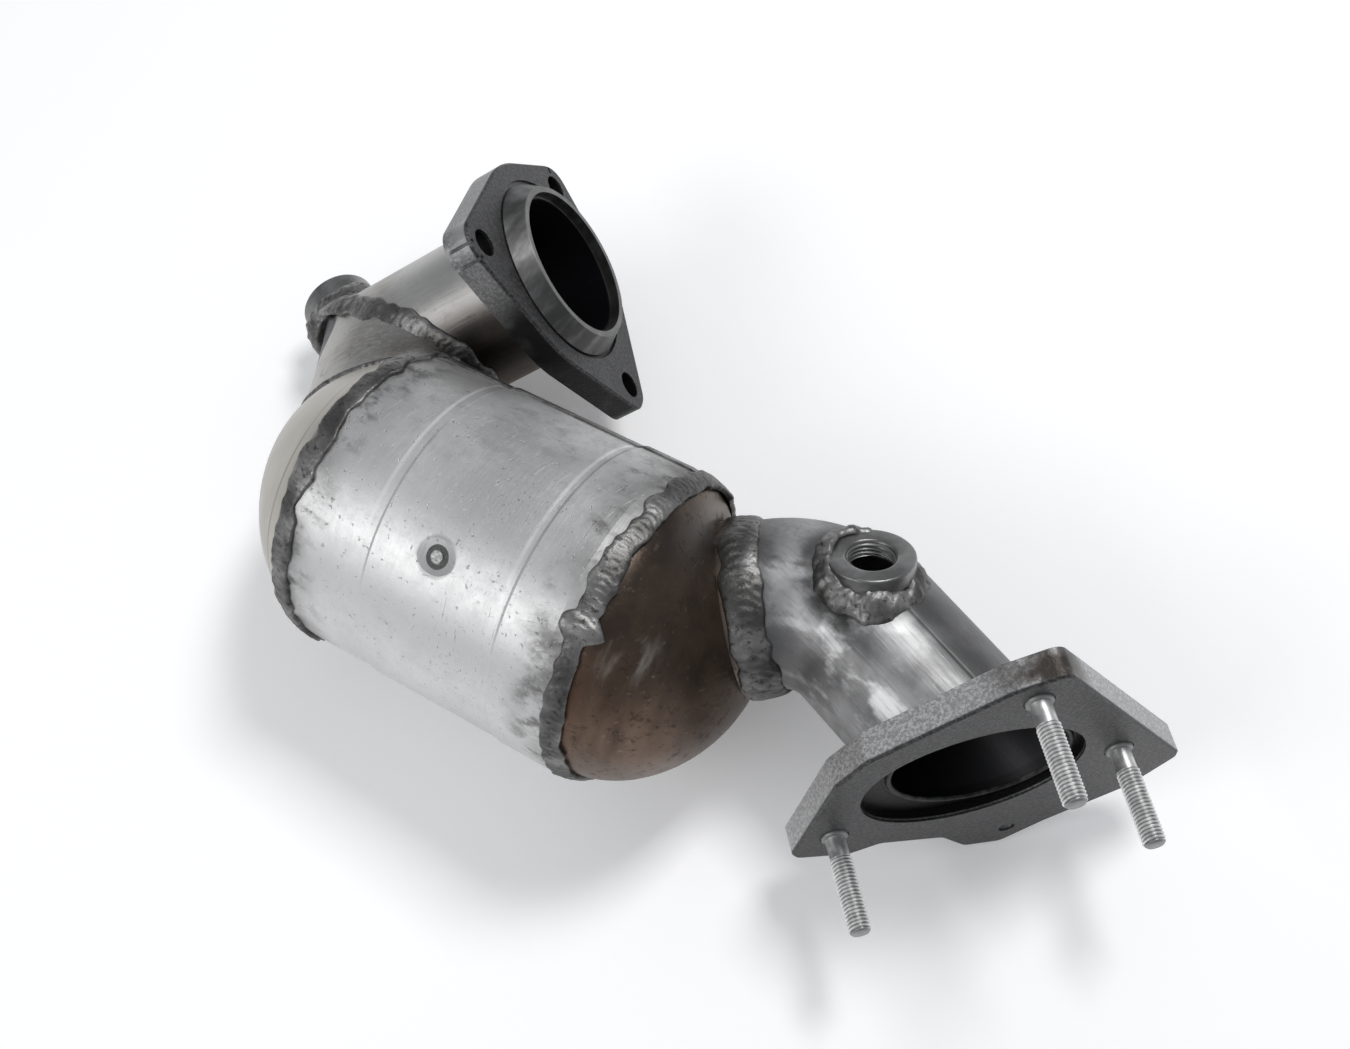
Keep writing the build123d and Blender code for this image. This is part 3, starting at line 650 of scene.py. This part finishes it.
def bead(name, stations, half_width, height, ripple, rough, sink=1.2, lumps=()):
    """A rippled weld bead. Each station gives a point, the way along the joint and the way out from it.

    Ripple is the length of one ripple. Each lump gives a centre, its reach and how much the bead grows there.
    """
    sides = 19
    tuck = 0.35
    points = []
    run = 0.0
    last = stations[0][0]
    for point, ahead, out in stations:
        run += (point - last).length
        last = point
        ahead = ahead.normalized()
        out = (out - ahead * out.dot(ahead)).normalized()
        across = ahead.cross(out)
        slow = 1 + rough * 0.7 * wave(*point, 9) + rough * 0.35 * wave(*point, 3.5)
        sway = half_width * rough * 0.5 * wave(point.z, point.x, point.y, 6)
        grow = 1 + sum(gain * max(0, 1 - ((point - centre).length / reach) ** 2)
                       for centre, reach, gain in lumps)
        for j in range(sides):
            a = -tuck + (pi + 2 * tuck) * j / (sides - 1)
            lean = (run - half_width * 0.8 * cos(a) ** 2) / ripple
            crest = abs(sin(pi * lean)) ** 0.6
            edge = 1 + rough * 0.6 * wave(point.y, point.z, point.x + (40 if a < 1.6 else 0), 5)
            w = half_width * edge * slow * grow
            spot = point + across * (cos(a) * w + sway)
            crumb = wave(*spot, 2.3) * 0.5 + wave(spot.y, spot.z, spot.x, 1.2) * 0.35
            h = height * slow * grow * (0.80 + 0.25 * crest + rough * 0.7 * crumb)
            up = sin(a) ** 0.6 * h if sin(a) > 0 else sin(a) * sink * 3
            points.append(spot + out * up)
    return mesh_piece(name, points, tube_faces(len(stations), sides, True), weld_steel)


def ring_stations(place, radius, lean=0.0, step=0.55):
    """Stations round a circle. Lean tips the way out from the circle's radius towards its axis."""
    count = ceil(2 * pi * radius / step)
    turn = place.to_3x3()
    for i in range(count):
        a = 2 * pi * i / count
        away = turn @ Vector((cos(a), sin(a), 0))
        ahead = turn @ Vector((-sin(a), cos(a), 0))
        out = away * cos(lean) + turn @ Vector((0, 0, 1)) * sin(lean)
        yield place.translation + away * radius, ahead, out


# %% [markdown]
# The can's two ring welds cover the sheet's edge where each cone slips in. The outlet one has a big round
# lump on the side that faces the camera. The seam weld runs straight along the can, on its far side.

# %% Welds of the can
inlet_end = facing((-half_can, 0, 0), bearing=180, slope=0)
outlet_end = facing((half_can, 0, 0), bearing=0, slope=0)
piece = bead("inlet_can_bead", list(ring_stations(inlet_end, 55.7, lean=0.25)), half_width=4.3, height=1.05,
             ripple=1.9, rough=0.50)
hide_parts("inlet_can_weld")
outlet_ring_radius = 56.0
lump_angle = radians(105)
lump_centre = Vector((60.5, outlet_ring_radius * cos(lump_angle), outlet_ring_radius * sin(lump_angle)))
piece = bead("outlet_can_bead", list(ring_stations(outlet_end, outlet_ring_radius, lean=0.3)),
             half_width=4.0, height=1.15, ripple=2.4, rough=0.48, lumps=[(lump_centre, 6.0, 1.5)])
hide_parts("outlet_can_weld")
weld_steel.on("can_seam_weld")

# %% [markdown]
# The inlet pipe meets the transition at a mitre, so that joint is an oval: a circle of the pipe seen at a
# slant. The thin seam between the transition and the cone is a plain circle, and the weld behind the
# flange keeps its solid.

# %% Welds of the inlet corner
corner = Vector((-94.6, 57.0, -24.9))
inlet_way = facing(corner, inlet_bearing, inlet_slope).to_3x3() @ Vector((0, 0, 1))


def oval_stations(plane, way, radius, step=0.55):
    """Stations along the oval where a round pipe is cut by a plane. The way out is the pipe's radius."""
    flat = plane.to_3x3() @ Vector((0, 0, 1))
    side = way.cross(flat).normalized()
    other = way.cross(side)
    count = ceil(2 * pi * radius / step)
    ring = []
    for i in range(count):
        a = 2 * pi * i / count
        away = side * cos(a) + other * sin(a)
        point = plane.translation + away * radius
        point = point + way * ((plane.translation - point).dot(flat) / way.dot(flat))
        ring.append((point, away))
    for i, (point, away) in enumerate(ring):
        yield point, ring[(i + 1) % count][0] - ring[i - 1][0], away


mitre = facing(corner, bearing=89, slope=-5.5)
piece = bead("mitre_bead", list(oval_stations(mitre, inlet_way, 29.3)), half_width=4.8, height=1.6,
             ripple=2.6, rough=0.45)
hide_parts("mitre_weld")
opening = facing((-half_can - 28.2, 32.0, -13.0), bearing=138, slope=0)
piece = bead("opening_bead", list(ring_stations(opening, 31.0)), half_width=1.6, height=1.3,
             ripple=2.4, rough=0.3)
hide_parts("opening_weld")
weld_steel.on("inlet_flange_weld")

# %% [markdown]
# The collar weld is the widest: it covers the edge of the outlet neck. Its edge on the cone side is wavy,
# and on the pipe side it drops off steeply.

# %% Collar weld
neck = facing((88.5, 28.7, -11.3), bearing=35, slope=0)
neck_length, collar_length = 7.5, 12.0
collar_edge = neck @ Matrix.Translation((0, 0, neck_length - collar_length))
piece = bead("collar_bead", list(ring_stations(collar_edge, 29.9, lean=0.1)), half_width=6.6, height=2.0,
             ripple=3.4, rough=0.28)
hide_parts("collar_weld")

# %% [markdown]
# Threads are cut as a helix. Turned as a plain stack of rings they would look almost the same, but a helix
# costs nothing more: the radius depends on the height minus the angle, so the crest climbs as it goes round.

# %% Studs
outlet_face = facing(outlet_face_centre, outlet_bearing, outlet_slope)
stud_way = outlet_face.to_3x3() @ Vector((0, 0, 1))
stud_places = {"stud_left": (-50.6, -14.7), "stud_top": (26.8, 42.6), "stud_right": (48.1, -14.7)}
stud_steel = Finish("stud_steel")
dust = stud_steel.grain(400, 4)
from_stud = None
for x, y in stud_places.values():
    distance = stud_steel.from_axis(outlet_face @ Vector((x, y, 0)), stud_way)
    from_stud = distance if from_stud is None else from_stud.maths("MINIMUM", from_stud, distance)
above_flange = stud_steel.along(outlet_face_centre, stud_way)
# Painted shade: the roots of the threads are darkened.
thread_root_shade = from_stud.between(3.70, 3.35) * above_flange.between(7.8, 8.6)
stud_colour = stud_steel.mix(dust.between(0.35, 0.65), (0.64, 0.64, 0.635), (0.84, 0.84, 0.83))
stud_colour = stud_steel.mix(thread_root_shade * 0.7, stud_colour, grey(0.09))
foot_ring = above_flange.between(1.3, 0.9)
stud_colour = stud_steel.mix(foot_ring * 0.75, stud_colour, grey(0.14))
stud_steel.set(base_color=stud_colour, metallic=0.9, roughness=dust * 0.15 + foot_ring * 0.15 + 0.32)


def thread_profile(turns):
    """0 at the root and 1 at the crest of a thread, round at both."""
    return 0.5 + 0.5 * cos(2 * pi * turns)


def turned_helix(name, place, profile, pitch, depth, threaded, finish, sides=40, step=0.11):
    """A turned piece from (radius, height) corners, whose radius dips in a helix between two heights."""
    heights = []
    for (r0, z0), (r1, z1) in zip(profile, profile[1:]):
        count = max(1, ceil(abs(z1 - z0) / step)) if min(z0, z1) >= threaded[0] - 0.01 else 1
        heights += [(r0 + (r1 - r0) * k / count, z0 + (z1 - z0) * k / count) for k in range(count)]
    heights.append(profile[-1])
    points = []
    for radius, z in heights:
        inside = min(1, max(0, (z - threaded[0]) / 0.5)) * min(1, max(0, (threaded[1] - z) / 0.2))
        for j in range(sides):
            a = 2 * pi * j / sides
            cut = depth * (1 - thread_profile(z / pitch - a / (2 * pi))) * inside
            r = radius - cut
            points.append(place @ Vector((r * cos(a), r * sin(a), z)))
    return mesh_piece(name, points, tube_faces(len(heights), sides, False), finish, sharp=80)


in_plate_corners = [(4.0, -10.5), (4.0, -0.4)]
foot_corners = [(4.65, -0.4), (4.65, 0.7), (4.4, 0.9)]
shank_corners = [(3.55, 0.95), (3.50, 8.0)]
thread_corners = [(4.0, 8.55), (4.0, 33.4), (2.9, 34.5)]
stud_profile = in_plate_corners + foot_corners + shank_corners + thread_corners
for name, (x, y) in stud_places.items():
    place = outlet_face @ Matrix.Translation((x, y, 0))
    piece = turned_helix(name + "_threaded", place, stud_profile, pitch=1.25, depth=0.70,
                         threaded=(8.0, 33.9), finish=stud_steel)
    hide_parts(name)

# %% [markdown]
# A sensor boss is a turned ring, welded onto the pipe. Its foot follows the pipe's round side, so the foot
# is worked out point by point: the further from the pipe's ridge, the deeper it goes. The thread is inside.

# %% Sensor bosses
boss_steel = Finish("boss_steel")
fine = boss_steel.grain(420, 4)
cloud = boss_steel.grain(90, 3)
boss_colour = boss_steel.mix(cloud.between(0.35, 0.7), (0.15, 0.15, 0.147), (0.29, 0.29, 0.285))
boss_steel.set(base_color=boss_colour, metallic=0.88, roughness=fine * 0.22 + 0.26)
boss_steel.relief(fine, 0.12, 0.7)


def sensor_boss(name, place, pipe_way, pipe_reach, pipe_radius):
    """Turned boss with an inner thread, its foot shaped to a pipe whose axis passes below it."""
    sides = 96
    hole_radius, pitch, depth = 8.3, 1.5, 0.75
    bottom, ring_gap, ring_count = -6.0, 0.2, 27
    rim_corners = ((8.75, -0.25), (9.1, -0.02), (9.6, 0.0), (14.1, 0.0), (14.6, -0.15), (14.9, -0.5),
                   (15.0, -1.0), (15.0, -3.0))
    points = []
    inside = place.inverted().to_3x3() @ pipe_way
    ridge = atan2(inside.y, inside.x)

    def foot(radius, a):
        off = min(abs(radius * sin(a - ridge)), pipe_radius - 1)
        return -(pipe_reach - sqrt(pipe_radius ** 2 - off ** 2))

    for k in range(ring_count):
        z = bottom + ring_gap * k
        for j in range(sides):
            a = 2 * pi * j / sides
            cut = depth * thread_profile(z / pitch - a / (2 * pi)) * min(1, max(0, (-0.9 - z) / 0.3))
            r = hole_radius - cut
            points.append(place @ Vector((r * cos(a), r * sin(a), z)))
    for r, z in rim_corners:
        for j in range(sides):
            a = 2 * pi * j / sides
            points.append(place @ Vector((r * cos(a), r * sin(a), z)))
    for r in (15.0, 11.5, hole_radius):
        for j in range(sides):
            a = 2 * pi * j / sides
            points.append(place @ Vector((r * cos(a), r * sin(a), foot(r, a) - 0.6)))
    count = len(points) // sides
    return mesh_piece(name, points, tube_faces(count, sides, True), boss_steel)


outlet_boss_reach, outlet_pipe_radius = 34.7, 29.5
outlet_boss = facing(bend_end, bearing=105, slope=51) @ Matrix.Translation((0, 0, outlet_boss_reach))
outlet_way = Vector((cos(radians(pipe_bearing)), sin(radians(pipe_bearing)), 0))
piece = sensor_boss("outlet_boss_threaded", outlet_boss, outlet_way, outlet_boss_reach, outlet_pipe_radius)
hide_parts("outlet_sensor_boss")

# %% [markdown]
# The welds at the bosses' feet are hand-laid puddles, and the outlet one has three fat lumps in front.
# A ring is dropped along the boss onto the pipe's faces, and the weld follows where it lands, so it also
# fits the inlet boss, which stands across a corner. The lumps are swellings of the bead.

# %% Boss welds
def skin_under(*names):
    """A search tree over the faces of CAD nodes, to find where a bead meets them."""
    points, faces = [], []
    for name in names:
        mesh = nodes[name].data
        start = len(points)
        points += [v.co.copy() for v in mesh.vertices]
        faces += [[start + i for i in p.vertices] for p in mesh.polygons]
    return BVHTree.FromPolygons(points, faces)


def foot_stations(place, radius, depth, skin, step=0.5):
    """Stations where a ring, dropped along a boss, lands on the pipes, down to a depth."""
    home = bench.inverted()
    drop = (turn_only @ (place.to_3x3() @ Vector((0, 0, -1)))).normalized()
    count = ceil(2 * pi * radius / step)
    ring = []
    for i in range(count):
        a = 2 * pi * i / count
        above = place @ Vector((radius * cos(a), radius * sin(a), 1))
        hit, normal, _, _ = skin.ray_cast(bench @ (above * MM), drop, depth * MM)
        away = place.to_3x3() @ Vector((cos(a), sin(a), 0))
        if hit is None:
            hit, normal = bench @ ((above + place.to_3x3() @ Vector((0, 0, -depth))) * MM), turn_only @ away
        ring.append((home @ hit / MM, (turn_only.inverted() @ normal).normalized() * 1.1 + away))
    for i, (point, out) in enumerate(ring):
        yield point, ring[(i + 1) % count][0] - ring[i - 1][0], out


stations = list(foot_stations(outlet_boss, radius=15.8, depth=24, skin=skin_under("outlet_pipe")))
nearest = min(stations, key=lambda s: (bench @ (s[0] * MM) - camera.location).length)[0]
print("weld nearest to the camera at", [round(c, 1) for c in nearest])
boss_lumps = [(nearest, 9, 0.45), (nearest + Vector((-11, -3, 4)), 6, 0.35),
              (nearest + Vector((10, 4, -1)), 6, 0.35)]
piece = bead("outlet_boss_bead", stations, half_width=4.4, height=2.8, ripple=7.0, rough=0.42, sink=0.5,
             lumps=boss_lumps)
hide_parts("outlet_boss_weld")
inlet_boss_reach, past_corner = 42.8, 13.7
inlet_boss_foot = facing(corner - inlet_way * past_corner, bearing=155, slope=-12.4)
inlet_boss = inlet_boss_foot @ Matrix.Translation((0, 0, inlet_boss_reach))
inlet_skin = skin_under("inlet_pipe", "inlet_transition")
stations = list(foot_stations(inlet_boss, radius=15.6, depth=16, skin=inlet_skin))
piece = bead("inlet_boss_bead", stations, half_width=5.0, height=3.0, ripple=5.0, rough=0.45, sink=0.5)
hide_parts("inlet_boss_weld")

# %% [markdown]
# Last, the inlet boss keeps its solid, which already follows both pipes, and takes the boss finish.

# %% Inlet boss finish
boss_steel.on("inlet_sensor_boss")
